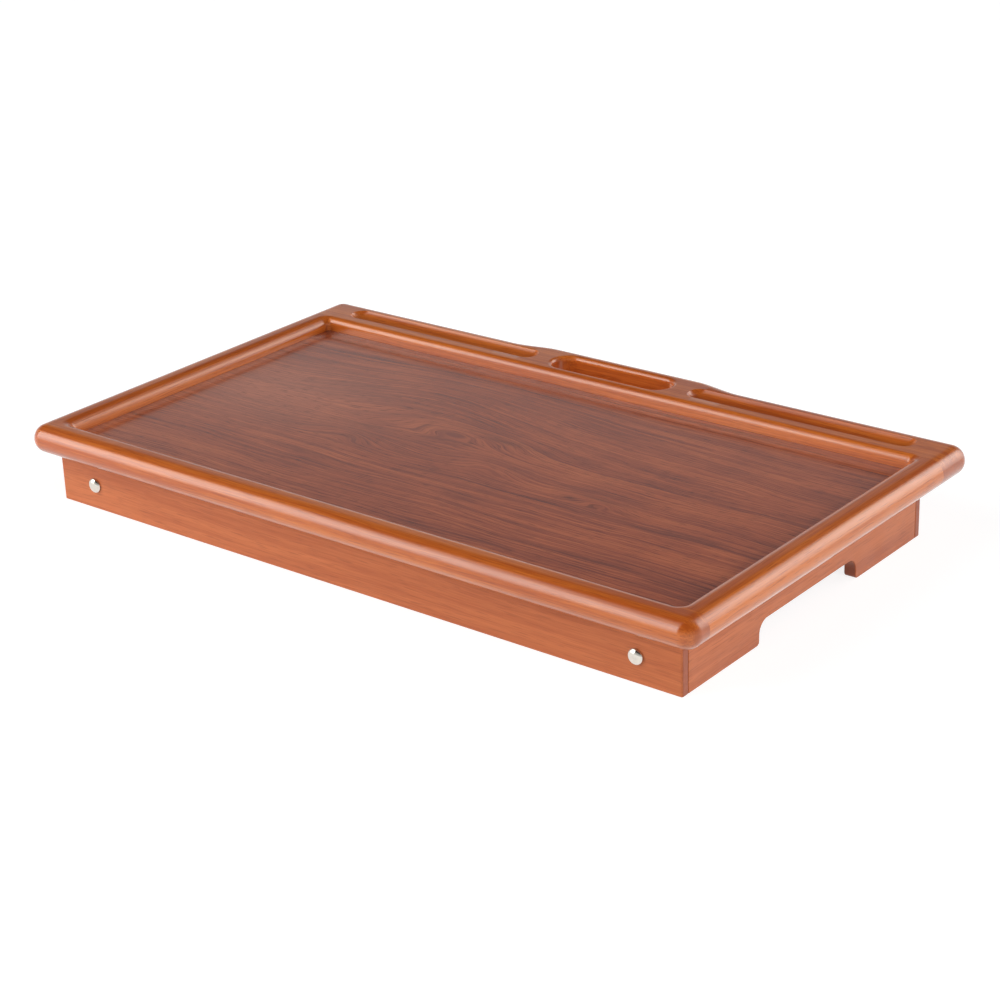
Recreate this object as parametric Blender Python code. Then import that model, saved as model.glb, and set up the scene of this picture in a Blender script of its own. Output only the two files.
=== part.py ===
"""Breakfast tray with two folding leg frames, as separate wooden and metal pieces.

Metres, +Z up, X along the tray, Y from front to rear. The origin is on the surface that the
tray stands on, under the middle of its outline. The legs are folded up inside the apron.
"""
from math import asin, cos, pi, radians, sin, sqrt, tan

import bmesh
import bpy
from mathutils import Vector

# Overall sizes of the rim
TRAY_LENGTH = 0.596
RIM_DEPTH = 0.3535
RIM_THICKNESS = 0.022
RIM_CORNER_RADIUS = 0.012

# Rails of the rim
FRONT_RAIL_WIDTH = 0.024
SIDE_RAIL_WIDTH = 0.024
REAR_RAIL_WIDTH = 0.044
RAIL_HOUSING = 0.004
INNER_ROUND = 0.0088
REAR_INNER_ROUND = 0.0055
INNER_CORNER_RADIUS = 0.004

# Panel and the ledge that carries it
PANEL_RECESS = 0.0105
PANEL_THICKNESS = 0.006
PANEL_LEDGE = 0.010

# Hand slot and the swelling of the rear rail behind it
GRIP_BULGE = 0.0065
GRIP_EASE = 0.042
GRIP_END_MARGIN = 0.008
SLOT_LENGTH = 0.109
SLOT_WIDTH = 0.0253
SLOT_ROUND = 0.0035
SLOT_LAND = 0.0006

# Pen grooves in the rear rail
GROOVE_WIDTH = 0.0190
GROOVE_DEPTH = 0.0050
GROOVE_LAND = 0.0015
GROOVE_SIDE_MARGIN = 0.033
GROOVE_SLOT_MARGIN = 0.0145

# Apron under the rim
APRON_HEIGHT = 0.0383
APRON_THICKNESS = 0.0095
APRON_FRONT_SETBACK = 0.0155
APRON_REAR_SETBACK = 0.0398
APRON_SIDE_SETBACK = 0.0173
APRON_REBATE = 0.003
APRON_CORNER_ROUND = 0.0015
FOOT_LENGTH = 0.0885
FOOT_CORNER = 0.003
ARCH_HEIGHT = 0.0163
ARCH_CORNER = 0.009

# Folding leg frames
PIVOT_FROM_END = 0.0352
LEG_TOP_CLEARANCE = 0.007
LEG_BASE_CLEARANCE = 0.0065
LEG_THICKNESS = 0.014
FOLDED_FEET_GAP = 0.110
LEG_OPEN_ANGLE = 95
STRETCHER_FROM_FOOT = 0.050
STRETCHER_WIDTH = 0.020
STRETCHER_THICKNESS = 0.012
TENON_DIAMETER = 0.008
TENON_LENGTH = 0.009

# Blocks glued into the apron corners, which also stop the opening legs
BLOCK_LENGTH = 0.026
BLOCK_BASE_CLEARANCE = 0.004

# Pivot hardware
BOLT_DIAMETER = 0.006
BOLT_HEAD_DIAMETER = 0.0116
BOLT_HEAD_HEIGHT = 0.0028
BOLT_PROTRUSION = 0.0015
SPACER_DIAMETER = 0.016
SPACER_THICKNESS = 0.0015
WASHER_DIAMETER = 0.012
WASHER_THICKNESS = 0.0012
NUT_WIDTH = 0.010
NUT_HEIGHT = 0.005

# Dowels
RAIL_DOWEL_DIAMETER = 0.008
RAIL_DOWEL_LENGTH = 0.028
RAIL_DOWEL_IN_END_RAIL = 0.009
APRON_DOWEL_DIAMETER = 0.006
APRON_DOWEL_LENGTH = 0.018
APRON_DOWEL_IN_RIM = 0.0055
APRON_DOWEL_FROM_END = 0.100
FOOT_DOWEL_FROM_END = 0.052
DOWEL_CHAMFER = 0.0006

# Clearances
GAP = 0.0003
BORE_CLEARANCE = 0.0003
HOLE_END_CLEARANCE = 0.0005

# Fineness of the facets
EDGE_STEPS = 10
ROUND_STEPS = 4
CORNER_STEPS = 6
GRIP_STEPS = 8
SLOT_STEPS = 8
GROOVE_STEPS = 5
SMALL_ROUND_STEPS = 3
HOLE_SIDES = 16
HEAD_SIDES = 24
HEAD_STEPS = 5
NUT_SIDES = 6
CUTTER_MARGIN = 0.002
MERGE_DISTANCE = 1e-6
SHARP_ANGLE = 35
FLAT_ANGLE = 0.05

# Heights
rim_bottom = APRON_HEIGHT
rim_top = rim_bottom + RIM_THICKNESS
rim_middle = rim_bottom + RIM_THICKNESS / 2
edge_radius = RIM_THICKNESS / 2
panel_top = rim_top - PANEL_RECESS
panel_bottom = panel_top - PANEL_THICKNESS
ledge_top = panel_bottom - GAP
apron_top = rim_bottom - GAP

# Outline of the rim
half_length = TRAY_LENGTH / 2
rim_front = -(RIM_DEPTH + GRIP_BULGE) / 2
rim_rear = rim_front + RIM_DEPTH
well_side = half_length - SIDE_RAIL_WIDTH
well_front = rim_front + FRONT_RAIL_WIDTH
well_rear = rim_rear - REAR_RAIL_WIDTH
front_seam = well_front - RAIL_HOUSING
rear_seam = well_rear + RAIL_HOUSING

# Slot, grooves and swelling
slot_half = SLOT_LENGTH / 2 + SLOT_ROUND
grip_flat = slot_half + GRIP_END_MARGIN
slot_middle = rim_rear + GRIP_BULGE - edge_radius - SLOT_LAND - SLOT_ROUND - SLOT_WIDTH / 2
groove_middle = rim_rear - edge_radius - GROOVE_LAND - GROOVE_WIDTH / 2
groove_inner = slot_half + GROOVE_SLOT_MARGIN
groove_outer = half_length - GROOVE_SIDE_MARGIN
groove_radius = (GROOVE_WIDTH ** 2 / 4 + GROOVE_DEPTH ** 2) / (2 * GROOVE_DEPTH)
groove_swing = asin(GROOVE_WIDTH / 2 / groove_radius)

# Apron outline
apron_side = half_length - APRON_SIDE_SETBACK
apron_front = rim_front + APRON_FRONT_SETBACK
apron_rear = rim_rear - APRON_REAR_SETBACK
apron_middle = (apron_front + apron_rear) / 2
apron_inside = apron_side - APRON_THICKNESS

# Leg frames, as distances from their pivot towards the middle of the tray
leg_width = APRON_HEIGHT - LEG_TOP_CLEARANCE - LEG_BASE_CLEARANCE
pivot_height = LEG_BASE_CLEARANCE + leg_width / 2
pivot_side = apron_side - PIVOT_FROM_END
leg_length = pivot_side - FOLDED_FEET_GAP / 2
leg_lean = radians(LEG_OPEN_ANGLE - 90)
stretcher_reach = leg_length - STRETCHER_FROM_FOOT

# Pivot stack, as distances inward from the inner face of the apron
spacer_start = GAP
leg_start = spacer_start + SPACER_THICKNESS + GAP
leg_end = leg_start + LEG_THICKNESS
washer_start = leg_end + GAP
nut_start = washer_start + WASHER_THICKNESS + GAP
bolt_end = nut_start + NUT_HEIGHT + BOLT_PROTRUSION

ENDS = (("front", 1, apron_front), ("rear", -1, apron_rear))
SIDES = (("left", -1), ("right", 1))


def clear_scene():
    for old in list(bpy.data.objects):
        bpy.data.objects.remove(old, do_unlink=True)


def finish(name, colour, roughness, metallic=0.0):
    material = bpy.data.materials.new(name)
    material.use_nodes = True
    shader = material.node_tree.nodes["Principled BSDF"]
    shader.inputs["Base Color"].default_value = (*colour, 1.0)
    shader.inputs["Roughness"].default_value = roughness
    shader.inputs["Metallic"].default_value = metallic
    return material


def add_object(name, bm, material, location=(0, 0, 0), parent=None):
    bmesh.ops.remove_doubles(bm, verts=bm.verts, dist=MERGE_DISTANCE)
    bmesh.ops.recalc_face_normals(bm, faces=bm.faces)
    mesh = bpy.data.meshes.new(name)
    bm.to_mesh(mesh)
    bm.free()
    if material is not None:
        mesh.materials.append(material)
    mesh.shade_smooth()
    mesh.set_sharp_from_angle(angle=radians(SHARP_ANGLE))
    piece = bpy.data.objects.new(name, mesh)
    bpy.context.collection.objects.link(piece)
    piece.location = location
    piece.parent = parent
    return piece


def bridge(bm, first, second):
    """Joins two closed rows of points, which have the same number of points, with faces."""
    for i in range(len(first)):
        j = (i + 1) % len(first)
        bm.faces.new((first[i], first[j], second[j], second[i]))


def stack(rows, closed=False):
    """A solid through rows of 3-D points. Its ends are capped, or joined if it is closed."""
    bm = bmesh.new()
    loops = [[bm.verts.new(point) for point in row] for row in rows]
    for first, second in zip(loops, loops[1:]):
        bridge(bm, first, second)
    if closed:
        bridge(bm, loops[-1], loops[0])
    else:
        bm.faces.new(loops[0])
        bm.faces.new(loops[-1])
    return bm


def prism(outline, axis, low, high):
    """A flat outline extruded along one axis. The outline's two coordinates are the others'."""
    rows = []
    for value in (low, high):
        row = []
        for point in outline:
            values = list(point)
            values.insert("XYZ".index(axis), value)
            row.append(Vector(values))
        rows.append(row)
    return stack(rows)


def turned(stations, axis, centre, sides):
    """A solid of revolution through (position along the axis, radius) stations."""
    along = "XYZ".index(axis)
    across = [i for i in range(3) if i != along]
    rows = []
    for position, radius in stations:
        row = []
        for k in range(sides):
            angle = 2 * pi * (k + 0.5) / sides
            point = Vector(centre)
            point[along] += position
            point[across[0]] += radius * cos(angle)
            point[across[1]] += radius * sin(angle)
            row.append(point)
        rows.append(row)
    return stack(rows)


def arc(centre, radius, start, end, steps):
    """Points on an arc, with its angles in degrees."""
    points = []
    for k in range(steps + 1):
        angle = radians(start + (end - start) * k / steps)
        points.append((centre[0] + radius * cos(angle), centre[1] + radius * sin(angle)))
    return points


def boolean(piece, operation, bm, name):
    """Cuts a shape from a piece, joins it on or keeps only what lies in it."""
    cutter = add_object(name, bm, None)
    cutter.hide_render = True
    cutter.display_type = "WIRE"
    modifier = piece.modifiers.new(name, "BOOLEAN")
    modifier.operation = operation
    modifier.solver = "EXACT"
    modifier.object = cutter
    return cutter


def drill(piece, axis, centre, low, high, diameter, name):
    """A round hole along one axis, between two positions counted from its centre point."""
    radius = diameter / 2 + BORE_CLEARANCE
    boolean(piece, "DIFFERENCE", turned(((low, radius), (high, radius)), axis, centre, HOLE_SIDES), name)


# Rim

def grip_offset(x):
    """How far the rear edge stands out at x, and its slope there."""
    distance = abs(x) - grip_flat
    if distance <= 0:
        return GRIP_BULGE, 0.0
    if distance >= GRIP_EASE:
        return 0.0, 0.0
    phase = pi * distance / GRIP_EASE
    slope = -GRIP_BULGE / 2 * sin(phase) * pi / GRIP_EASE
    return GRIP_BULGE / 2 * (1 + cos(phase)), slope if x > 0 else -slope


def grip_stations():
    """Positions along the rear edge where its curve is sampled, from right to left."""
    right = [grip_flat + GRIP_EASE * (1 - k / GRIP_STEPS) for k in range(GRIP_STEPS + 1)]
    return right + [-x for x in reversed(right)]


def outer_row(inset, height):
    """The rim's outline, drawn in by the inset, counter-clockwise from the front left."""
    radius = RIM_CORNER_RADIUS - inset
    low = rim_front + RIM_CORNER_RADIUS
    high = rim_rear - RIM_CORNER_RADIUS
    side = half_length - RIM_CORNER_RADIUS
    points = arc((-side, low), radius, 180, 270, CORNER_STEPS)
    points += arc((side, low), radius, 270, 360, CORNER_STEPS)
    points += arc((side, high), radius, 0, 90, CORNER_STEPS)
    for x in grip_stations():
        offset, slope = grip_offset(x)
        length = sqrt(1 + slope * slope)
        points.append((x + inset * slope / length, rim_rear + offset - inset / length))
    points += arc((-side, high), radius, 90, 180, CORNER_STEPS)
    return [Vector((x, y, height)) for x, y in points]


def inner_row(outset, height):
    """The outline of the well, widened by the outset, with as many points as the rim's."""
    radius = max(INNER_CORNER_RADIUS + outset, 0)
    low = well_front - outset + radius
    high = well_rear + outset - radius
    side = well_side + outset - radius
    points = arc((-side, low), radius, 180, 270, CORNER_STEPS)
    points += arc((side, low), radius, 270, 360, CORNER_STEPS)
    points += arc((side, high), radius, 0, 90, CORNER_STEPS)
    points += [(x, well_rear + outset) for x in grip_stations()]
    points += arc((-side, high), radius, 90, 180, CORNER_STEPS)
    return [Vector((x, y, height)) for x, y in points]


def rounded_row(angle):
    """One row round the rounded edge of the well, which is tighter along the rear rail."""
    wide, tight = [inner_row(radius * (1 - sin(angle)), rim_top - radius * (1 - cos(angle)))
                   for radius in (INNER_ROUND, REAR_INNER_ROUND)]
    turn = [k / CORNER_STEPS for k in range(CORNER_STEPS + 1)]
    shares = [0] * (2 * len(turn)) + turn + [1] * len(grip_stations()) + turn[::-1]
    return [first.lerp(second, share) for first, second, share in zip(wide, tight, shares)]


def rim_blank():
    """The four rails in one: a round outer edge, a rounded inner edge and the panel's ledge."""
    rows = []
    for k in range(EDGE_STEPS + 1):
        angle = pi * (k / EDGE_STEPS - 0.5)
        rows.append(outer_row(edge_radius * (1 - cos(angle)), rim_middle + edge_radius * sin(angle)))
    for k in range(ROUND_STEPS + 1):
        rows.append(rounded_row(pi / 2 * k / ROUND_STEPS))
    rows.append(inner_row(0, ledge_top))
    rows.append(inner_row(-PANEL_LEDGE, ledge_top))
    rows.append(inner_row(-PANEL_LEDGE, rim_bottom))
    bm = stack(rows, closed=True)
    bmesh.ops.connect_verts_nonplanar(bm, angle_limit=radians(FLAT_ANGLE), faces=bm.faces[:])
    return bm


def end_rail_region(end):
    """Plan of what the front (1) or rear (-1) rail keeps of the blank."""
    outer = half_length + CUTTER_MARGIN
    if end > 0:
        edge, seam, lip = rim_front - CUTTER_MARGIN, front_seam, well_front + PANEL_LEDGE
    else:
        edge, seam, lip = rim_rear + GRIP_BULGE + CUTTER_MARGIN, rear_seam, well_rear - PANEL_LEDGE
    return [(-outer, edge), (outer, edge), (outer, seam), (well_side, seam),
            (well_side, lip), (-well_side, lip), (-well_side, seam), (-outer, seam)]


def side_rail_region(side):
    """Plan of what the left (-1) or right (1) rail keeps of the blank."""
    outer = side * (half_length + CUTTER_MARGIN)
    wall = side * (well_side + GAP)
    inner = side * (well_side - PANEL_LEDGE - CUTTER_MARGIN)
    front_lip = well_front + PANEL_LEDGE + GAP
    rear_lip = well_rear - PANEL_LEDGE - GAP
    return [(inner, front_lip), (wall, front_lip), (wall, front_seam + GAP), (outer, front_seam + GAP),
            (outer, rear_seam - GAP), (wall, rear_seam - GAP), (wall, rear_lip), (inner, rear_lip)]


def rail(name, region, material):
    piece = add_object(name, rim_blank(), material)
    low, high = rim_bottom - CUTTER_MARGIN, rim_top + CUTTER_MARGIN
    boolean(piece, "INTERSECT", prism(region, "Z", low, high), name + "_region")
    return piece


def stadium(x_low, x_high, y, half_width, height):
    """A row of points round a straight slot with half-round ends, along X."""
    points = arc((x_high - half_width, y), half_width, -90, 90, SLOT_STEPS)
    points += arc((x_low + half_width, y), half_width, 90, 270, SLOT_STEPS)
    return [Vector((px, py, height)) for px, py in points]


def groove_cutter(side):
    """The shallow trough on one side: an arc across, with round ends."""
    x_low, x_high = sorted((side * groove_inner, side * groove_outer))
    rows = []
    for k in range(1, GROOVE_STEPS + 1):
        angle = groove_swing * k / GROOVE_STEPS
        half_width = groove_radius * sin(angle)
        narrow = GROOVE_WIDTH / 2 - half_width
        height = rim_top - GROOVE_DEPTH + groove_radius * (1 - cos(angle))
        rows.append(stadium(x_low + narrow, x_high - narrow, groove_middle, half_width, height))
    rows.append(stadium(x_low, x_high, groove_middle, GROOVE_WIDTH / 2, rim_top + CUTTER_MARGIN))
    return stack(rows)


def slot_cutter():
    """The hand slot, which is rounded over at both its mouths."""
    rows = []
    for mouth, direction in ((rim_bottom, -1), (rim_top, 1)):
        level_rows = []
        for k in range(ROUND_STEPS + 1):
            angle = pi / 2 * k / ROUND_STEPS
            flare = SLOT_ROUND * (1 - cos(angle))
            level_rows.append((flare, mouth - direction * SLOT_ROUND * (1 - sin(angle))))
        level_rows.append((SLOT_ROUND, mouth + direction * CUTTER_MARGIN))
        if direction < 0:
            level_rows.reverse()
        for flare, height in level_rows:
            reach = SLOT_LENGTH / 2 + flare
            rows.append(stadium(-reach, reach, slot_middle, SLOT_WIDTH / 2 + flare, height))
    return stack(rows)


def make_rim(wood, peg_wood):
    front = rail("front_rail", end_rail_region(1), wood)
    rear = rail("rear_rail", end_rail_region(-1), wood)
    sides = {side: rail(name + "_rail", side_rail_region(side), wood) for name, side in SIDES}
    for name, side in SIDES:
        boolean(rear, "DIFFERENCE", groove_cutter(side), name + "_groove_cutter")
    boolean(rear, "DIFFERENCE", slot_cutter(), "slot_cutter")
    for end_name, end, _ in ENDS:
        end_rail = front if end > 0 else rear
        seam = front_seam if end > 0 else rear_seam
        for side_name, side in SIDES:
            name = f"{side_name}_{end_name}_rail_dowel"
            centre = (side * (half_length - SIDE_RAIL_WIDTH / 2), seam, rim_middle)
            deep = end * (RAIL_DOWEL_LENGTH - RAIL_DOWEL_IN_END_RAIL)
            shallow = -end * RAIL_DOWEL_IN_END_RAIL
            clearance = end * HOLE_END_CLEARANCE
            drill(end_rail, "Y", centre, shallow - clearance, end * CUTTER_MARGIN, RAIL_DOWEL_DIAMETER,
                  name + "_end_hole")
            drill(sides[side], "Y", centre, -end * CUTTER_MARGIN, deep + clearance, RAIL_DOWEL_DIAMETER,
                  name + "_side_hole")
            dowel(name, "Y", centre, shallow, deep, RAIL_DOWEL_DIAMETER, peg_wood)
    return front, rear, sides


def dowel(name, axis, centre, low, high, diameter, material):
    """A round peg with chamfered ends."""
    low, high = sorted((low, high))
    radius = diameter / 2
    stations = ((low, radius - DOWEL_CHAMFER), (low + DOWEL_CHAMFER, radius),
                (high - DOWEL_CHAMFER, radius), (high, radius - DOWEL_CHAMFER))
    return add_object(name, turned(stations, axis, centre, HOLE_SIDES), material)


def make_panel(veneer):
    rows = [inner_row(-GAP, height) for height in (panel_bottom, panel_top)]
    return add_object("tray_panel", stack(rows), veneer)


# Apron

def end_apron_outline(end, outer_face):
    """Plan of the front (1) or rear (-1) apron board, rebated at its ends for the end boards."""
    inner_face = outer_face + end * APRON_THICKNESS
    rebate_face = inner_face - end * APRON_REBATE
    side, round_ = apron_side, APRON_CORNER_ROUND
    corner = outer_face + end * round_
    if end > 0:
        left = arc((-side + round_, corner), round_, 180, 270, SMALL_ROUND_STEPS)
        right = arc((side - round_, corner), round_, 270, 360, SMALL_ROUND_STEPS)
    else:
        left = arc((-side + round_, corner), round_, 180, 90, SMALL_ROUND_STEPS)
        right = arc((side - round_, corner), round_, 90, 0, SMALL_ROUND_STEPS)
    return left + right + [(side, rebate_face), (apron_inside, rebate_face), (apron_inside, inner_face),
                           (-apron_inside, inner_face), (-apron_inside, rebate_face), (-side, rebate_face)]


def end_board_outline():
    """Side view of an end board: two feet with an arch between them."""
    low = apron_front + APRON_THICKNESS - APRON_REBATE + GAP
    high = apron_rear - APRON_THICKNESS + APRON_REBATE - GAP
    arch_low, arch_high = apron_front + FOOT_LENGTH, apron_rear - FOOT_LENGTH
    points = [(low, 0), (arch_low - FOOT_CORNER, 0)]
    points += arc((arch_low - FOOT_CORNER, FOOT_CORNER), FOOT_CORNER, 270, 360, SMALL_ROUND_STEPS)[1:]
    points += arc((arch_low + ARCH_CORNER, ARCH_HEIGHT - ARCH_CORNER), ARCH_CORNER, 180, 90, CORNER_STEPS)
    points += arc((arch_high - ARCH_CORNER, ARCH_HEIGHT - ARCH_CORNER), ARCH_CORNER, 90, 0, CORNER_STEPS)
    points += arc((arch_high + FOOT_CORNER, FOOT_CORNER), FOOT_CORNER, 180, 270, SMALL_ROUND_STEPS)
    return points + [(high, 0), (high, apron_top), (low, apron_top)]


def peg_down(board, rail_piece, x, y, name, material):
    """A peg between the top edge of an apron board and the rail above it."""
    centre = (x, y, rim_bottom)
    low = APRON_DOWEL_IN_RIM - APRON_DOWEL_LENGTH
    drill(board, "Z", centre, low - HOLE_END_CLEARANCE, CUTTER_MARGIN, APRON_DOWEL_DIAMETER,
          name + "_board_hole")
    drill(rail_piece, "Z", centre, -CUTTER_MARGIN, APRON_DOWEL_IN_RIM + HOLE_END_CLEARANCE,
          APRON_DOWEL_DIAMETER, name + "_rail_hole")
    dowel(name, "Z", centre, low, APRON_DOWEL_IN_RIM, APRON_DOWEL_DIAMETER, material)


def make_apron(wood, peg_wood, rails):
    front_rail, rear_rail, side_rails = rails
    for end_name, end, outer_face in ENDS:
        outline = end_apron_outline(end, outer_face)
        board = add_object(end_name + "_apron", prism(outline, "Z", 0, apron_top), wood)
        middle = outer_face + end * APRON_THICKNESS / 2
        reach = apron_side - APRON_DOWEL_FROM_END
        for place, x in (("left", -reach), ("middle", 0), ("right", reach)):
            rail_piece = front_rail if end > 0 else rear_rail
            peg_down(board, rail_piece, x, middle, f"{end_name}_apron_{place}_dowel", peg_wood)
        for side_name, side in SIDES:
            drill(board, "Y", (side * pivot_side, middle, pivot_height), -APRON_THICKNESS, APRON_THICKNESS,
                  BOLT_DIAMETER, f"{side_name}_{end_name}_bolt_hole")
    for side_name, side in SIDES:
        faces = sorted((side * apron_side, side * (apron_inside + GAP)))
        board = add_object(side_name + "_end_board", prism(end_board_outline(), "X", *faces), wood)
        middle = side * (apron_side - APRON_THICKNESS / 2)
        for end_name, end, outer_face in ENDS:
            peg_down(board, side_rails[side], middle, outer_face + end * FOOT_DOWEL_FROM_END,
                     f"{side_name}_end_{end_name}_dowel", peg_wood)


def make_corner_blocks(wood):
    """Each block's sloping face is where an open leg comes to rest."""
    low, high = BLOCK_BASE_CLEARANCE, apron_top - GAP
    back = apron_inside - GAP

    def stop_face(height):
        rise = height - pivot_height
        return pivot_side + (leg_width / 2 + GAP - rise * sin(leg_lean)) / cos(leg_lean)

    for side_name, side in SIDES:
        outline = [(side * stop_face(low), low), (side * back, low), (side * back, high),
                   (side * stop_face(high), high)]
        for end_name, end, outer_face in ENDS:
            start = outer_face + end * (APRON_THICKNESS + GAP)
            faces = sorted((start, start + end * BLOCK_LENGTH))
            add_object(f"{side_name}_{end_name}_corner_block", prism(outline, "Y", *faces), wood)


# Leg frames

def leg_outline(side):
    """Side view of a folded leg about its pivot: a round head, and a foot cut to stand level."""
    half = leg_width / 2
    level = half * tan(leg_lean)
    points = arc((0, 0), half, 90, 270, 2 * CORNER_STEPS)
    points += [(leg_length + level, -half), (leg_length - level, half)]
    return [(-side * x, z) for x, z in points]


def make_leg_frame(side_name, side, wood):
    pivot = bpy.data.objects.new(side_name + "_leg_pivot", None)
    pivot.location = (side * pivot_side, apron_middle, pivot_height)
    bpy.context.collection.objects.link(pivot)
    bpy.context.view_layer.update()
    stretcher_x = -side * stretcher_reach
    inner_faces = []
    for end_name, end, outer_face in ENDS:
        inner_apron = outer_face + end * APRON_THICKNESS - apron_middle
        faces = sorted((inner_apron + end * leg_start, inner_apron + end * leg_end))
        name = f"{side_name}_{end_name}_leg"
        leg = add_object(name, prism(leg_outline(side), "Y", *faces), wood, parent=pivot)
        middle = apron_middle + (faces[0] + faces[1]) / 2
        inner_face = inner_apron + end * leg_end
        inner_faces.append(inner_face)
        drill(leg, "Y", (side * pivot_side, middle, pivot_height), -LEG_THICKNESS, LEG_THICKNESS,
              BOLT_DIAMETER, name + "_bore")
        socket = (side * pivot_side + stretcher_x, apron_middle + inner_face, pivot_height)
        deep = -end * (TENON_LENGTH + HOLE_END_CLEARANCE)
        drill(leg, "Y", socket, deep, end * CUTTER_MARGIN, TENON_DIAMETER, name + "_socket")
    low, high = min(inner_faces) + GAP, max(inner_faces) - GAP
    half_w, half_t = STRETCHER_WIDTH / 2, STRETCHER_THICKNESS / 2
    outline = [(stretcher_x - half_w, -half_t), (stretcher_x + half_w, -half_t),
               (stretcher_x + half_w, half_t), (stretcher_x - half_w, half_t)]
    stretcher = add_object(side_name + "_stretcher", prism(outline, "Y", low, high), wood, parent=pivot)
    tenon_ends = (low - TENON_LENGTH - GAP, high + TENON_LENGTH + GAP)
    tenon_stations = [(position, TENON_DIAMETER / 2) for position in tenon_ends]
    tenon_centre = (side * pivot_side + stretcher_x, apron_middle, pivot_height)
    tenons = turned(tenon_stations, "Y", tenon_centre, HOLE_SIDES)
    boolean(stretcher, "UNION", tenons, side_name + "_tenons")


# Pivot hardware

def ring_solid(name, centre, low, high, outer_diameter, sides, material):
    """A washer or nut about the pivot, with a clear hole for the bolt."""
    outer = outer_diameter / 2
    inner = BOLT_DIAMETER / 2 + BORE_CLEARANCE
    low, high = sorted((low, high))
    rows = []
    for position, radius in ((low, inner), (low, outer), (high, outer), (high, inner)):
        row = []
        for k in range(HEAD_SIDES):
            angle = 2 * pi * (k + 0.5) / HEAD_SIDES
            reach = radius
            if radius == outer and sides < HEAD_SIDES:
                sector = 2 * pi / sides
                reach = radius / cos((angle % sector) - sector / 2)
            row.append(Vector(centre) + Vector((reach * cos(angle), position, reach * sin(angle))))
        rows.append(row)
    return add_object(name, stack(rows, closed=True), material)


def bolt_stations(end):
    """A domed head outside the apron and a plain shank through everything inside it."""
    seat = -end * (APRON_THICKNESS + GAP)
    stations = []
    for k in range(HEAD_STEPS + 1):
        angle = pi / 2 * k / HEAD_STEPS
        stations.append((seat - end * BOLT_HEAD_HEIGHT * cos(angle), BOLT_HEAD_DIAMETER / 2 * sin(angle)))
    stations.append((seat, BOLT_DIAMETER / 2))
    stations.append((end * bolt_end, BOLT_DIAMETER / 2))
    return stations


def make_hardware(nickel, steel, nylon):
    for side_name, side in SIDES:
        for end_name, end, outer_face in ENDS:
            centre = (side * pivot_side, outer_face + end * APRON_THICKNESS, pivot_height)
            tag = f"{side_name}_{end_name}"
            add_object(tag + "_pivot_bolt", turned(bolt_stations(end), "Y", centre, HEAD_SIDES), nickel)
            ring_solid(tag + "_spacer", centre, end * spacer_start, end * (spacer_start + SPACER_THICKNESS),
                       SPACER_DIAMETER, HEAD_SIDES, nylon)
            ring_solid(tag + "_washer", centre, end * washer_start, end * (washer_start + WASHER_THICKNESS),
                       WASHER_DIAMETER, HEAD_SIDES, steel)
            ring_solid(tag + "_lock_nut", centre, end * nut_start, end * (nut_start + NUT_HEIGHT),
                       NUT_WIDTH, NUT_SIDES, steel)


def main():
    clear_scene()
    rim_wood = finish("rim_wood", (0.40, 0.125, 0.045), 0.25)
    apron_wood = finish("apron_wood", (0.50, 0.18, 0.085), 0.45)
    peg_wood = finish("peg_wood", (0.62, 0.44, 0.27), 0.7)
    veneer = finish("walnut_veneer", (0.23, 0.085, 0.055), 0.4)
    nickel = finish("polished_nickel", (0.78, 0.75, 0.70), 0.12, 1.0)
    steel = finish("zinc_steel", (0.62, 0.62, 0.63), 0.3, 1.0)
    nylon = finish("nylon", (0.75, 0.73, 0.68), 0.5)
    rails = make_rim(rim_wood, peg_wood)
    make_panel(veneer)
    make_apron(apron_wood, peg_wood, rails)
    make_corner_blocks(apron_wood)
    for side_name, side in SIDES:
        make_leg_frame(side_name, side, apron_wood)
    make_hardware(nickel, steel, nylon)


main()
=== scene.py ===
"""Looks of the breakfast tray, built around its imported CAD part. Metres, in the part's frame."""

from collections import defaultdict
from math import asin, cos, inf, pi, radians, sin, sqrt, tan

import bmesh
import bpy
from mathutils import Matrix, Vector


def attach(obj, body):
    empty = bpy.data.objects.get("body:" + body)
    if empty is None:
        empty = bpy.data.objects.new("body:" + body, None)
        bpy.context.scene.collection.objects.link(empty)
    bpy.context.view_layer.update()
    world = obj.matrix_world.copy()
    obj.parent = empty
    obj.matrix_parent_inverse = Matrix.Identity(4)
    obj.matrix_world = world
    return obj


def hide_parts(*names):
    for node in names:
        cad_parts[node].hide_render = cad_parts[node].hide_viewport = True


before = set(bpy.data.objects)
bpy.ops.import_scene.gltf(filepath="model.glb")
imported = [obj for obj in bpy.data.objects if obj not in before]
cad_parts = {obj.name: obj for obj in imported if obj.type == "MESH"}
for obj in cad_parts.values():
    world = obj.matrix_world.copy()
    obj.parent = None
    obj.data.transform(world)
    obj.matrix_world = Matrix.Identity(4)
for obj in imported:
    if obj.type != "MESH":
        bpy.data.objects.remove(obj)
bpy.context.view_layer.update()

# Overall sizes of the rim
TRAY_LENGTH = 0.596
RIM_DEPTH = 0.3535
RIM_THICKNESS = 0.022
RIM_CORNER_RADIUS = 0.012

# Rails of the rim
FRONT_RAIL_WIDTH = 0.024
SIDE_RAIL_WIDTH = 0.024
REAR_RAIL_WIDTH = 0.044
RAIL_HOUSING = 0.004
INNER_ROUND = 0.0088
REAR_INNER_ROUND = 0.0055
INNER_CORNER_RADIUS = 0.004
PANEL_RECESS = 0.0105
PANEL_THICKNESS = 0.006
PANEL_LEDGE = 0.010

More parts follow.
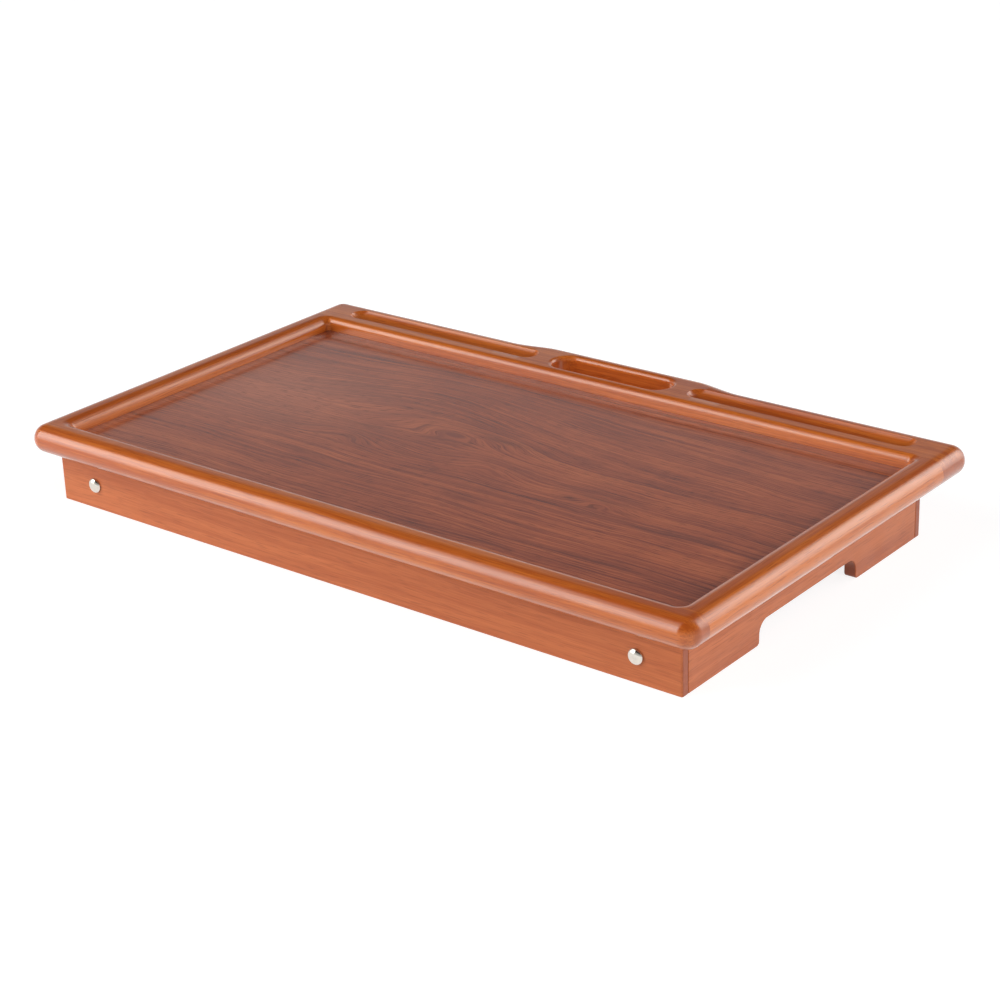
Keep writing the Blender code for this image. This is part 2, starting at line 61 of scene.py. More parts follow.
# Hand slot, the swelling behind it, and the pen grooves
GRIP_BULGE = 0.0065
GRIP_EASE = 0.042
GRIP_END_MARGIN = 0.008
SLOT_LENGTH = 0.109
SLOT_WIDTH = 0.0253
SLOT_ROUND = 0.0035
SLOT_LAND = 0.0006
GROOVE_WIDTH = 0.0190
GROOVE_DEPTH = 0.0050
GROOVE_LAND = 0.0015
GROOVE_SIDE_MARGIN = 0.033
GROOVE_SLOT_MARGIN = 0.0145
GROOVE_EASE = 0.0006
GLUE_LINE = 0.00004

# Apron
APRON_HEIGHT = 0.0383
APRON_THICKNESS = 0.0095
APRON_FRONT_SETBACK = 0.0155
APRON_REAR_SETBACK = 0.0398
APRON_SIDE_SETBACK = 0.0173
APRON_REBATE = 0.003
APRON_CORNER_ROUND = 0.0015
FOOT_LENGTH = 0.0885
FOOT_CORNER = 0.003
ARCH_HEIGHT = 0.0163
ARCH_CORNER = 0.009
BLOCK_LENGTH = 0.026
BLOCK_BASE_CLEARANCE = 0.004

# Leg frames
PIVOT_FROM_END = 0.0352
LEG_TOP_CLEARANCE = 0.007
LEG_BASE_CLEARANCE = 0.0065
LEG_THICKNESS = 0.014
FOLDED_FEET_GAP = 0.110
LEG_OPEN_ANGLE = 95
STRETCHER_FROM_FOOT = 0.050
STRETCHER_WIDTH = 0.020
STRETCHER_THICKNESS = 0.012
TENON_DIAMETER = 0.008
TENON_LENGTH = 0.009

# Hardware
BOLT_DIAMETER = 0.006
BOLT_HEAD_DIAMETER = 0.0116
BOLT_HEAD_HEIGHT = 0.0028
BOLT_PROTRUSION = 0.0015
THREAD_LENGTH = 0.009
THREAD_PITCH = 0.001
THREAD_DEPTH = 0.0005
SPACER_DIAMETER = 0.016
SPACER_THICKNESS = 0.0015
WASHER_DIAMETER = 0.012
WASHER_THICKNESS = 0.0012
NUT_WIDTH = 0.010
NUT_HEIGHT = 0.005
NUT_CHAMFER_ANGLE = 30
NUT_COLLAR_HEIGHT = 0.0015
SPACER_EASE = 0.0002
WASHER_EASE = 0.00015
GAP = 0.0003
BORE_CLEARANCE = 0.0003
HOLE_END_CLEARANCE = 0.0005
# Share of a turn at which the thread's profile bends, and its depth there
THREAD_PROFILE = ((0.45, THREAD_DEPTH), (0.55, THREAD_DEPTH), (0.95, 0))
# How far below a lock nut's top, and how far inside its flats, each point of its collar lies
NUT_COLLAR = ((NUT_COLLAR_HEIGHT, 0.0003), (0.0004, 0.0005), (0.0, 0.0011))

# Dowels
RAIL_DOWEL_DIAMETER = 0.008
RAIL_DOWEL_LENGTH = 0.028
RAIL_DOWEL_IN_END_RAIL = 0.009
APRON_DOWEL_DIAMETER = 0.006
APRON_DOWEL_LENGTH = 0.018
APRON_DOWEL_IN_RIM = 0.0055
APRON_DOWEL_FROM_END = 0.100
FOOT_DOWEL_FROM_END = 0.052

# Eased edges, and the angle in degrees from which an edge counts as sharp
BOARD_EASE = 0.0007
BLOCK_EASE = 0.0006
LEG_EASE = 0.0012
STRETCHER_EASE = 0.0018
BOARD_EASE_STEPS = 3
LEG_EASE_STEPS = 4
SHARP_FROM = 28

# Faces that meet at less than this angle, in degrees, are shaded as one
SMOOTH_ANGLE = 32
RING_SMOOTH_ANGLE = 25

# Fineness: steps and sides of round shapes, lengths in metres, and how many degrees count as flat
EDGE_STEPS = 32
ROUND_STEPS = 10
CORNER_STEPS = 14
GRIP_STEPS = 24
SLOT_STEPS = 24
GROOVE_STEPS = 10
GROOVE_EASE_STEPS = 4
ARC_STEPS = 12
SMALL_ARC_STEPS = 6
HOLE_SIDES = 32
HEAD_SIDES = 72
HEAD_STEPS = 18
CUTTER_MARGIN = 0.002
MERGE_DISTANCE = 1e-6
FLAT_ANGLE = 0.05

# Heights and outlines that follow
rim_bottom = APRON_HEIGHT
rim_top = rim_bottom + RIM_THICKNESS
rim_middle = rim_bottom + RIM_THICKNESS / 2
edge_radius = RIM_THICKNESS / 2
ledge_top = rim_top - PANEL_RECESS - PANEL_THICKNESS - GAP
apron_top = rim_bottom - GAP
half_length = TRAY_LENGTH / 2
rim_front = -(RIM_DEPTH + GRIP_BULGE) / 2
rim_rear = rim_front + RIM_DEPTH
well_side = half_length - SIDE_RAIL_WIDTH
well_front = rim_front + FRONT_RAIL_WIDTH
well_rear = rim_rear - REAR_RAIL_WIDTH
front_seam = well_front - RAIL_HOUSING
rear_seam = well_rear + RAIL_HOUSING
slot_half = SLOT_LENGTH / 2 + SLOT_ROUND
grip_flat = slot_half + GRIP_END_MARGIN
slot_middle = rim_rear + GRIP_BULGE - edge_radius - SLOT_LAND - SLOT_ROUND - SLOT_WIDTH / 2
groove_middle = rim_rear - edge_radius - GROOVE_LAND - GROOVE_WIDTH / 2
groove_inner = slot_half + GROOVE_SLOT_MARGIN
groove_outer = half_length - GROOVE_SIDE_MARGIN
groove_radius = (GROOVE_WIDTH ** 2 / 4 + GROOVE_DEPTH ** 2) / (2 * GROOVE_DEPTH)
groove_swing = asin(GROOVE_WIDTH / 2 / groove_radius)
apron_side = half_length - APRON_SIDE_SETBACK
apron_front = rim_front + APRON_FRONT_SETBACK
apron_rear = rim_rear - APRON_REAR_SETBACK
apron_inside = apron_side - APRON_THICKNESS
leg_width = APRON_HEIGHT - LEG_TOP_CLEARANCE - LEG_BASE_CLEARANCE
pivot_height = LEG_BASE_CLEARANCE + leg_width / 2
pivot_side = apron_side - PIVOT_FROM_END
leg_length = pivot_side - FOLDED_FEET_GAP / 2
leg_lean = radians(LEG_OPEN_ANGLE - 90)
stretcher_side = pivot_side - (leg_length - STRETCHER_FROM_FOOT)
leg_start = GAP + SPACER_THICKNESS + GAP
leg_end = leg_start + LEG_THICKNESS
washer_start = leg_end + GAP
nut_start = washer_start + WASHER_THICKNESS + GAP
bolt_end = nut_start + NUT_HEIGHT + BOLT_PROTRUSION

# Name, way inward along Y, and the apron's outer face there; then name and way outward along X
ENDS = (("front", 1, apron_front), ("rear", -1, apron_rear))
SIDES = (("left", -1), ("right", 1))


# Camera, fitted to edges and corners that the photograph shows

# Metres, then degrees, then millimetres for the lens and sensor
CAMERA_PLACE = (1.01819, -1.25094, 0.69960)
NEAREST_SEEN = 0.01
CAMERA_YAW = -38.9236
CAMERA_PITCH = 23.2341
CAMERA_ROLL = -1.9483
CAMERA_LENS = 85.895
SENSOR_WIDTH = 36


def make_camera():
    """The photograph's view."""
    yaw, pitch, roll = radians(CAMERA_YAW), radians(CAMERA_PITCH), radians(CAMERA_ROLL)
    forward = Vector((sin(yaw) * cos(pitch), cos(yaw) * cos(pitch), -sin(pitch)))
    level = Vector((cos(yaw), -sin(yaw), 0))
    upright = level.cross(forward)
    right = level * cos(roll) + upright * sin(roll)
    up = upright * cos(roll) - level * sin(roll)
    data = bpy.data.cameras.new("camera")
    data.lens = CAMERA_LENS
    data.sensor_width = SENSOR_WIDTH
    data.clip_start = NEAREST_SEEN
    camera = bpy.data.objects.new("camera", data)
    bpy.context.scene.collection.objects.link(camera)
    turn = Matrix((right, up, -forward)).transposed()
    camera.matrix_world = Matrix.Translation(CAMERA_PLACE) @ turn.to_4x4()
    bpy.context.scene.camera = camera


# Shader nodes

# Every noise lies about this mean, and mostly in this range
NOISE_MEAN = 0.5
NOISE_RANGE = (0.3, 0.7)


def srgb(colour):
    """The shader's value of a colour that is given as it looks on a screen, 0 to 255."""
    values = []
    for value in colour:
        value /= 255
        values.append(value / 12.92 if value <= 0.04045 else ((value + 0.055) / 1.055) ** 2.4)
    return (*values, 1.0)


def grey(level):
    """A colour with the same level of red, green and blue."""
    return level, level, level, 1.0


def feed(tree, socket, value):
    """Gives a socket its value, or links it to the socket that feeds it."""
    if isinstance(value, bpy.types.NodeSocket):
        tree.links.new(value, socket)
    else:
        socket.default_value = value


def node(tree, kind, inputs=None, **settings):
    """A shader node whose inputs are given as values or as the sockets that feed them."""
    made = tree.nodes.new("ShaderNode" + kind)
    for key, value in settings.items():
        setattr(made, key, value)
    for key, value in (inputs or {}).items():
        feed(tree, made.inputs[key], value)
    return made


def maths(tree, operation, *values):
    """The result of one operation on numbers or sockets."""
    return node(tree, "Math", dict(enumerate(values)), operation=operation).outputs[0]


def mix(tree, factor, first, second):
    """Two colours blended. A factor of 0 gives the first."""
    made = node(tree, "Mix", {"Factor": factor}, data_type="RGBA")
    for key, value in (("A", first), ("B", second)):
        feed(tree, [s for s in made.inputs if s.name == key and s.type == "RGBA"][0], value)
    return [s for s in made.outputs if s.type == "RGBA"][0]


def remap(tree, value, low, high, start=0.0, end=1.0):
    """A value brought smoothly from one range to another and kept in it."""
    inputs = {"Value": value, "From Min": low, "From Max": high, "To Min": start, "To Max": end}
    return node(tree, "MapRange", inputs, interpolation_type="SMOOTHSTEP").outputs[0]


def ramp(tree, value, stops):
    """A colour that follows a value through stops, each a position and a colour."""
    made = node(tree, "ValToRGB", {"Fac": value})
    elements = made.color_ramp.elements
    for position, _ in stops[1:-1]:
        elements.new(position)
    for element, (position, colour) in zip(elements, stops):
        element.position = position
        element.color = colour
    return made.outputs[0]


def noise(tree, vector, waves, detail, roughness):
    """Noise with its own number of waves per metre along each axis."""
    stretched = node(tree, "Mapping", {"Vector": vector, "Scale": waves}, vector_type="POINT").outputs[0]
    inputs = {"Vector": stretched, "Scale": 1.0, "Detail": detail, "Roughness": roughness}
    return node(tree, "TexNoise", inputs).outputs[0]


def weighted(tree, noises, shares):
    """The sum of some noises, each counted from its mean and times its share."""
    total = 0.0
    for part, share in zip(noises, shares):
        swing = maths(tree, "SUBTRACT", part, NOISE_MEAN)
        total = maths(tree, "ADD", total, maths(tree, "MULTIPLY", swing, share))
    return total


def surface(tree, shader, colour, roughness, height, strength, distance):
    """Links a shader's colour, its roughness and a relief that is too fine for the mesh."""
    bump = node(tree, "Bump", {"Height": height, "Strength": strength, "Distance": distance})
    for key, socket in (("Base Color", colour), ("Roughness", roughness), ("Normal", bump.outputs[0])):
        tree.links.new(socket, shader.inputs[key])


def new_material(name):
    """A new material, its node tree and its main shader."""
    material = bpy.data.materials.new(name)
    material.use_nodes = True
    return material, material.node_tree, material.node_tree.nodes["Principled BSDF"]


# Solid wood

# Noises: waves per metre along, across and through the grain, then detail and roughness
WOOD_BEND = ((4, 14, 14), 2, 0.5)
WOOD_BROAD = ((2.5, 30, 30), 3, 0.5)
WOOD_STREAKS = ((5, 190, 190), 4, 0.6)
WOOD_FIBRES = ((22, 900, 900), 3, 0.65)
WOOD_FLECKS = ((60, 1300, 1300), 1, 0.4)
WOOD_RINGS = ((60, 120, 300), 2, 0.5)
WOOD_PORES = ((1800, 1800, 1800), 1, 0.5)
WOOD_WEAR = ((60, 60, 60), 3, 0.5)
# How far the grain wanders, in metres
WOOD_BEND_REACH = (0, 0.012, 0.009)
# Shares of the broad tone, the streaks and the fibres, and at a cut end of the rings and the pores
SIDE_GRAIN_SHARES = (0.50, 0.50, 0.35)
END_GRAIN_SHARES = (0.6, 0.4)
END_GRAIN_SPREAD = 0.15
END_GRAIN_DEPTH = 0.35
FLECK_RANGE = (0.56, 0.72)
# How squarely a face is cut across the grain where it starts and ends turning into end grain
CUT_RANGE = (0.72, 0.98)
WORN_SMOOTHER = 0.04
WORN_ROUGHER = 0.06
# Relief: the fibres' share in its height, then its strength and its depth in metres
FIBRE_HEIGHT = 0.6
WOOD_RELIEF = (0.12, 0.0002)
WOOD_SPECULAR = 0.3
WOOD_SPECULAR_TINT = (1.0, 0.85, 0.6, 1.0)
GRAIN_TURNS = {"X": (0, 0, 0), "Y": (0, 0, pi / 2), "Z": (0, pi / 2, 0)}

RIM_WOOD = dict(
    pale=(220, 119, 46), deep=(184, 84, 28), fleck=(146, 62, 24), end=(186, 90, 38),
    roughness=0.36, coat=1.0, coat_roughness=0.08, fleck_depth=0.4, spread=0.15,
)
BOARD_WOOD = dict(
    pale=(208, 118, 70), deep=(178, 91, 51), fleck=(138, 66, 41), end=(170, 91, 63),
    roughness=0.42, coat=0.35, coat_roughness=0.25, fleck_depth=0.35, spread=0.2,
)
PEG_WOOD = dict(
    pale=(214, 178, 134), deep=(190, 150, 106), fleck=(150, 112, 76), end=(170, 130, 90),
    roughness=0.6, coat=0.0, coat_roughness=0.5, fleck_depth=0.2, spread=0.2,
)
# Material's name, the grain's axis, where in the grain the piece is cut, and the kind of wood
WOODS = {
    "front_rail": ("rim_wood_front", "X", (0.3, 0.1, 0.0), RIM_WOOD),
    "rear_rail": ("rim_wood_rear", "X", (1.7, 0.4, 0.2), RIM_WOOD),
    "left_rail": ("rim_wood_left", "Y", (2.9, 0.7, 0.4), RIM_WOOD),
    "right_rail": ("rim_wood_right", "Y", (4.1, 0.9, 0.6), RIM_WOOD),
    "apron_x": ("apron_wood_x", "X", (0.9, 0.2, 0.3), BOARD_WOOD),
    "apron_y": ("apron_wood_y", "Y", (3.3, 0.8, 0.9), BOARD_WOOD),
    "leg": ("leg_wood", "X", (5.3, 0.1, 0.5), BOARD_WOOD),
    "stretcher": ("stretcher_wood", "Y", (6.1, 0.6, 0.1), BOARD_WOOD),
    "peg_y": ("peg_wood_y", "Y", (0, 0, 0), PEG_WOOD),
    "peg_z": ("peg_wood_z", "Z", (0, 0, 0), PEG_WOOD),
}


def grain_space(tree, axis, offset):
    """The spot in the wood, with the grain along X, and how squarely the face is cut across the grain."""
    place = node(tree, "TexCoord")
    turn = GRAIN_TURNS[axis]
    laid = {"Vector": place.outputs["Object"], "Rotation": turn, "Location": offset}
    spot = node(tree, "Mapping", laid)
    normal = {"Vector": place.outputs["Normal"], "Rotation": turn}
    facing = node(tree, "Mapping", normal, vector_type="NORMAL").outputs[0]
    along = node(tree, "SeparateXYZ", {"Vector": facing}).outputs[0]
    return spot.outputs[0], maths(tree, "ABSOLUTE", along)


def wood(name, axis, offset, pale, deep, fleck, end, roughness, coat, coat_roughness, fleck_depth,
         spread):
    """Solid stained wood: long soft streaks, fine fibres, short flecks and darker end grain."""
    material, tree, shader = new_material(name)
    spot, cut = grain_space(tree, axis, offset)
    bend = {0: WOOD_BEND_REACH, "Scale": noise(tree, spot, *WOOD_BEND)}
    shift = node(tree, "VectorMath", bend, operation="SCALE").outputs[0]
    bent = node(tree, "VectorMath", {0: spot, 1: shift}, operation="ADD").outputs[0]

    fibres = noise(tree, bent, *WOOD_FIBRES)
    side_noises = (noise(tree, bent, *WOOD_BROAD), noise(tree, bent, *WOOD_STREAKS), fibres)
    tone = remap(tree, weighted(tree, side_noises, SIDE_GRAIN_SHARES), -spread, spread)
    flecks = remap(tree, noise(tree, bent, *WOOD_FLECKS), *FLECK_RANGE, 0.0, fleck_depth)
    side_grain = mix(tree, flecks, mix(tree, tone, srgb(pale), srgb(deep)), srgb(fleck))

    end_noises = (noise(tree, bent, *WOOD_RINGS), noise(tree, spot, *WOOD_PORES))
    end_tone = weighted(tree, end_noises, END_GRAIN_SHARES)
    end_flecks = remap(tree, end_tone, -END_GRAIN_SPREAD, END_GRAIN_SPREAD, 0.0, END_GRAIN_DEPTH)
    end_grain = mix(tree, end_flecks, srgb(end), srgb(fleck))
    colour = mix(tree, remap(tree, cut, *CUT_RANGE), side_grain, end_grain)

    wear = noise(tree, spot, *WOOD_WEAR)
    worn = remap(tree, wear, *NOISE_RANGE, roughness - WORN_SMOOTHER, roughness + WORN_ROUGHER)
    height = maths(tree, "SUBTRACT", maths(tree, "MULTIPLY", fibres, FIBRE_HEIGHT), flecks)
    surface(tree, shader, colour, worn, height, *WOOD_RELIEF)
    shader.inputs["Specular IOR Level"].default_value = WOOD_SPECULAR
    shader.inputs["Specular Tint"].default_value = WOOD_SPECULAR_TINT
    shader.inputs["Coat Weight"].default_value = coat
    shader.inputs["Coat Roughness"].default_value = coat_roughness
    return material


# Veneer

# Noises: waves per metre along and across the grain and none in depth, then detail and roughness
VENEER_SWING = ((6, 18, 1), 3, 0.5)
VENEER_BANDS = ((1.3, 46, 1), 3, 0.55)
VENEER_LINES = ((2.2, 210, 1), 4, 0.62)
VENEER_THREADS = ((5, 520, 1), 3, 0.6)
VENEER_HAIRS = ((18, 1100, 1), 2, 0.6)
VENEER_PORES = ((85, 1500, 1), 1, 0.5)
VENEER_MOTTLE = ((16, 22, 1), 2, 0.5)
# How far the lines swing, in metres, besides the hills that they run round
VENEER_SWING_REACH = 0.018
# The flames' hills: centre, reach and height
VENEER_HILLS = (
    ((-0.088, 0.062), (0.100, 0.046), 0.030),
    ((0.060, 0.055), (0.190, 0.050), 0.010),
    ((-0.026, 0.010), (0.062, 0.018), 0.018),
    ((-0.106, -0.036), (0.036, 0.012), 0.012),
    ((0.022, -0.030), (0.030, 0.011), 0.009),
    ((0.128, -0.041), (0.028, 0.008), 0.009),
)
# The painted reflection that makes the panel paler towards its left end, then dark places and the knot:
# centre, reach and strength
VENEER_PAINTED_SHEEN = ((-0.215, 0.0), (0.110, 0.065), 0.40)
VENEER_SMUDGES = (
    ((0.004, 0.013), (0.021, 0.0035), 0.50),
    ((-0.022, 0.0185), (0.024, 0.0016), 0.35),
    ((0.105, -0.0435), (0.006, 0.0028), 0.60),
    ((0.126, -0.0345), (0.022, 0.0018), 0.50),
    ((0.150, -0.0450), (0.014, 0.0016), 0.35),
    ((-0.102, -0.0185), (0.022, 0.0014), 0.35),
)
# Shares of bands, lines, threads, hairs and mottle in the tone, then its range and its colours
VENEER_SHARES = (0.40, 0.40, 0.42, 0.46, 0.20)
VENEER_TONES = (-0.26, 0.24)
VENEER_COLOURS = (
    (0.0, (116, 62, 52)),
    (0.30, (150, 76, 56)),
    (0.60, (180, 92, 62)),
    (1.0, (206, 114, 72)),
)
# Dark streaks lie where both the lines and the bands fall through these ranges
STREAK_LINES = (0.44, 0.30)
STREAK_BANDS = (0.56, 0.40)
STREAK_DEPTH = 0.20
STREAK_COLOUR = (96, 50, 42)
# Colour of the painted reflection that pales the panel's left end
PAINTED_SHEEN_COLOUR = (222, 140, 108)
SMUDGE_COLOUR = (84, 46, 42)
PORE_RANGE = (0.56, 0.70)
PORE_DEPTH = 0.55
PORE_COLOUR = (92, 46, 38)
HAIR_HEIGHT = 0.5
VENEER_ROUGHNESS = (0.13, 0.21)
VENEER_COAT = 0.6
VENEER_COAT_ROUGHNESS = 0.16
VENEER_RELIEF = (0.08, 0.0002)


def hill(tree, x, y, centre, reach, height):
    """A smooth hill over the panel: its height at its centre, and almost nothing past its reach."""
    squares = []
    for value, middle, width in zip((x, y), centre, reach):
        distance = maths(tree, "DIVIDE", maths(tree, "SUBTRACT", value, middle), width)
        squares.append(maths(tree, "POWER", distance, 2))
    falling = maths(tree, "EXPONENT", maths(tree, "MULTIPLY", maths(tree, "ADD", *squares), -1))
    return maths(tree, "MULTIPLY", falling, height)


def veneer_grain(tree, spot, x, y):
    """The spot with the veneer's lines laid straight along X."""
    lift = weighted(tree, [noise(tree, spot, *VENEER_SWING)], [VENEER_SWING_REACH])
    for flame in VENEER_HILLS:
        lift = maths(tree, "ADD", lift, hill(tree, x, y, *flame))
    return node(tree, "CombineXYZ", {0: x, 1: maths(tree, "SUBTRACT", y, lift)}).outputs[0]


def veneer():
    """Walnut veneer: long dark lines that swing round a few flames and a small knot."""
    material, tree, shader = new_material("walnut_veneer")
    spot = node(tree, "TexCoord").outputs["Object"]
    parts = node(tree, "SeparateXYZ", {"Vector": spot})
    x, y = parts.outputs[0], parts.outputs[1]
    grain = veneer_grain(tree, spot, x, y)
    bands, lines, threads, hairs = [noise(tree, grain, *settings) for settings in
                                    (VENEER_BANDS, VENEER_LINES, VENEER_THREADS, VENEER_HAIRS)]
    mottle = noise(tree, spot, *VENEER_MOTTLE)
    tone = weighted(tree, (bands, lines, threads, hairs, mottle), VENEER_SHARES)
    stops = [(position, srgb(value)) for position, value in VENEER_COLOURS]
    colour = ramp(tree, remap(tree, tone, *VENEER_TONES), stops)
    dark_lines, dark_bands = remap(tree, lines, *STREAK_LINES), remap(tree, bands, *STREAK_BANDS)
    streaks = maths(tree, "MULTIPLY", dark_lines, dark_bands)
    colour = mix(tree, maths(tree, "MULTIPLY", streaks, STREAK_DEPTH), colour, srgb(STREAK_COLOUR))
    # Painted reflection: the panel lightened towards its left end, where the coat's sheen lies
    colour = mix(tree, hill(tree, x, y, *VENEER_PAINTED_SHEEN), colour, srgb(PAINTED_SHEEN_COLOUR))
    for smudge in VENEER_SMUDGES:
        colour = mix(tree, hill(tree, x, y, *smudge), colour, srgb(SMUDGE_COLOUR))
    pores = remap(tree, noise(tree, grain, *VENEER_PORES), *PORE_RANGE, 0.0, PORE_DEPTH)
    colour = mix(tree, pores, colour, srgb(PORE_COLOUR))
    rough = remap(tree, hairs, *NOISE_RANGE, *VENEER_ROUGHNESS)
    height = maths(tree, "SUBTRACT", maths(tree, "MULTIPLY", hairs, HAIR_HEIGHT), pores)
    surface(tree, shader, colour, rough, height, *VENEER_RELIEF)
    shader.inputs["Coat Weight"].default_value = VENEER_COAT
    shader.inputs["Coat Roughness"].default_value = VENEER_COAT_ROUGHNESS
    return material


# Metal and nylon

NICKEL = dict(colour=(226, 220, 210), roughness=0.10, scratch=0.05)
STEEL = dict(colour=(196, 198, 200), roughness=0.28, scratch=0.10)
METAL_HAZE = ((500, 500, 500), 3, 0.5)
METAL_SCRATCHES = ((4000, 300, 4000), 2, 0.5)
# How dark the haze is, how strong, and how it changes the roughness
HAZE_SHADE = 0.8
HAZE_DEPTH = 0.35
HAZE_SMOOTHER = 0.7
HAZE_ROUGHER = 1.4
METAL_RELIEF = (0.04, 0.0001)

NYLON_CLOUD = ((220, 220, 220), 3, 0.5)
NYLON_GRAIN = ((2500, 2500, 2500), 1, 0.5)
NYLON_DARK = (214, 209, 196)
NYLON_PALE = (236, 232, 222)
NYLON_ROUGHNESS = (0.42, 0.56)
NYLON_RELIEF = (0.08, 0.0001)
NYLON_GLOW = 0.1
NYLON_GLOW_REACH = (0.001, 0.001, 0.001)


def metal(name, colour, roughness, scratch):
    """Plated metal with faint scratches and handling haze."""
    material, tree, shader = new_material(name)
    place = node(tree, "TexCoord").outputs["Object"]
    haze = noise(tree, place, *METAL_HAZE)
    scratches = noise(tree, place, *METAL_SCRATCHES)
    bright = srgb(colour)
    dull = (*(HAZE_SHADE * part for part in bright[:3]), 1.0)
    tint = mix(tree, remap(tree, haze, *NOISE_RANGE, 0.0, HAZE_DEPTH), bright, dull)
    hazy = remap(tree, haze, *NOISE_RANGE, roughness * HAZE_SMOOTHER, roughness * HAZE_ROUGHER)
    rough = maths(tree, "ADD", hazy, maths(tree, "MULTIPLY", scratches, scratch))
    surface(tree, shader, tint, rough, scratches, *METAL_RELIEF)
    shader.inputs["Metallic"].default_value = 1.0
    return material


def nylon():
    """Off-white nylon that lets a little light in."""
    material, tree, shader = new_material("nylon")
    place = node(tree, "TexCoord").outputs["Object"]
    cloud = noise(tree, place, *NYLON_CLOUD)
    colour = mix(tree, cloud, srgb(NYLON_DARK), srgb(NYLON_PALE))
    rough = remap(tree, cloud, *NOISE_RANGE, *NYLON_ROUGHNESS)
    surface(tree, shader, colour, rough, noise(tree, place, *NYLON_GRAIN), *NYLON_RELIEF)
    shader.inputs["Subsurface Weight"].default_value = NYLON_GLOW
    shader.inputs["Subsurface Radius"].default_value = NYLON_GLOW_REACH
    return material


# Meshes

def bridge(bm, first, second):
    """Joins two closed rows of points, which have the same number of points, with faces."""
    for i in range(len(first)):
        j = (i + 1) % len(first)
        bm.faces.new((first[i], first[j], second[j], second[i]))


def stack(rows, closed=False):
    """A solid through rows of 3-D points. Its ends are capped, or joined if it is closed."""
    bm = bmesh.new()
    loops = [[bm.verts.new(point) for point in row] for row in rows]
    for first, second in zip(loops, loops[1:]):
        bridge(bm, first, second)
    if closed:
        bridge(bm, loops[-1], loops[0])
    else:
        bm.faces.new(loops[0])
        bm.faces.new(loops[-1])
    bmesh.ops.remove_doubles(bm, verts=bm.verts, dist=MERGE_DISTANCE)
    bmesh.ops.recalc_face_normals(bm, faces=bm.faces)
    return bm


def prism(outline, axis, low, high):
    """A flat outline extruded along one axis. The outline's two coordinates are the others'."""
    rows = []
    for value in (low, high):
        row = []
        for point in outline:
            values = list(point)
            values.insert("XYZ".index(axis), value)
            row.append(Vector(values))
        rows.append(row)
    return stack(rows)


def turned(stations, axis, centre, sides):
    """A solid of revolution through (position along the axis, radius) stations."""
    along = "XYZ".index(axis)
    across = [i for i in range(3) if i != along]
    rows = []
    for position, radius in stations:
        row = []
        for k in range(sides):
            angle = 2 * pi * (k + 0.5) / sides
            point = Vector(centre)
            point[along] += position
            point[across[0]] += radius * cos(angle)
            point[across[1]] += radius * sin(angle)
            row.append(point)
        rows.append(row)
    return stack(rows)


def arc(centre, radius, start, end, steps):
    """Points on an arc, with its angles in degrees."""
    points = []
    for k in range(steps + 1):
        angle = radians(start + (end - start) * k / steps)
        points.append((centre[0] + radius * cos(angle), centre[1] + radius * sin(angle)))
    return points


def ease(bm, width, segments=BOARD_EASE_STEPS):
    """Rounds the sharp edges of a shape."""
    sharp = [edge for edge in bm.edges
             if edge.is_manifold and edge.calc_face_angle() > radians(SHARP_FROM)]
    bmesh.ops.bevel(bm, geom=sharp, offset=width, segments=segments, profile=0.5, affect="EDGES",
                    clamp_overlap=True)
    return bm


def as_object(name, bm):
    """A new object with a mesh of this shape."""
    mesh = bpy.data.meshes.new(name)
    bm.to_mesh(mesh)
    bm.free()
    made = bpy.data.objects.new(name, mesh)
    bpy.context.scene.collection.objects.link(made)
    return made


def carve(piece, operation, cutters):
    """Cuts shapes from a piece, or keeps only what lies in them, and applies that to its mesh."""
    for bm in cutters:
        cutter = as_object("cutter", bm)
        modifier = piece.modifiers.new("carve", "BOOLEAN")
        modifier.operation = operation
        modifier.solver = "EXACT"
        modifier.object = cutter
        graph = bpy.context.evaluated_depsgraph_get()
        carved = bpy.data.meshes.new_from_object(piece.evaluated_get(graph))
        piece.modifiers.clear()
        old = piece.data
        piece.data = carved
        bpy.data.meshes.remove(old)
        bpy.data.objects.remove(cutter, do_unlink=True)


def present(piece, body, material, angle=SMOOTH_ANGLE):
    """Shades a piece, gives it its material and lets it stand for its CAD node."""
    mesh = piece.data
    mesh.materials.clear()
    mesh.materials.append(material)
    mesh.shade_smooth()
    mesh.set_sharp_from_angle(angle=radians(angle))
    modifier = piece.modifiers.new("flat_faces", "WEIGHTED_NORMAL")
    modifier.keep_sharp = True
    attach(piece, body)
    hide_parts(piece.name.removesuffix("_detail"))


def drill(centre, axis, low, high, diameter):
    """The shape of a round hole along one axis, between two positions counted from its centre."""
    radius = diameter / 2 + BORE_CLEARANCE
    low, high = sorted((low, high))
    return turned(((low, radius), (high, radius)), axis, centre, HOLE_SIDES)


# Rim

def grip_offset(x):
    """How far the rear edge stands out at x, and its slope there."""
    distance = abs(x) - grip_flat
    if distance <= 0:
        return GRIP_BULGE, 0.0
    if distance >= GRIP_EASE:
        return 0.0, 0.0
    phase = pi * distance / GRIP_EASE
    slope = -GRIP_BULGE / 2 * sin(phase) * pi / GRIP_EASE
    return GRIP_BULGE / 2 * (1 + cos(phase)), slope if x > 0 else -slope


def grip_stations():
    """Positions along the rear edge where its curve is sampled, from right to left."""
    right = [grip_flat + GRIP_EASE * (1 - k / GRIP_STEPS) for k in range(GRIP_STEPS + 1)]
    return right + [-x for x in reversed(right)]


def corner_row(side, low, high, radius, rear, height):
    """A row round a rectangle's corners, given by their centres, and through its rear edge's points."""
    points = arc((-side, low), radius, 180, 270, CORNER_STEPS)
    points += arc((side, low), radius, 270, 360, CORNER_STEPS)
    points += arc((side, high), radius, 0, 90, CORNER_STEPS)
    points += rear
    points += arc((-side, high), radius, 90, 180, CORNER_STEPS)
    return [Vector((x, y, height)) for x, y in points]


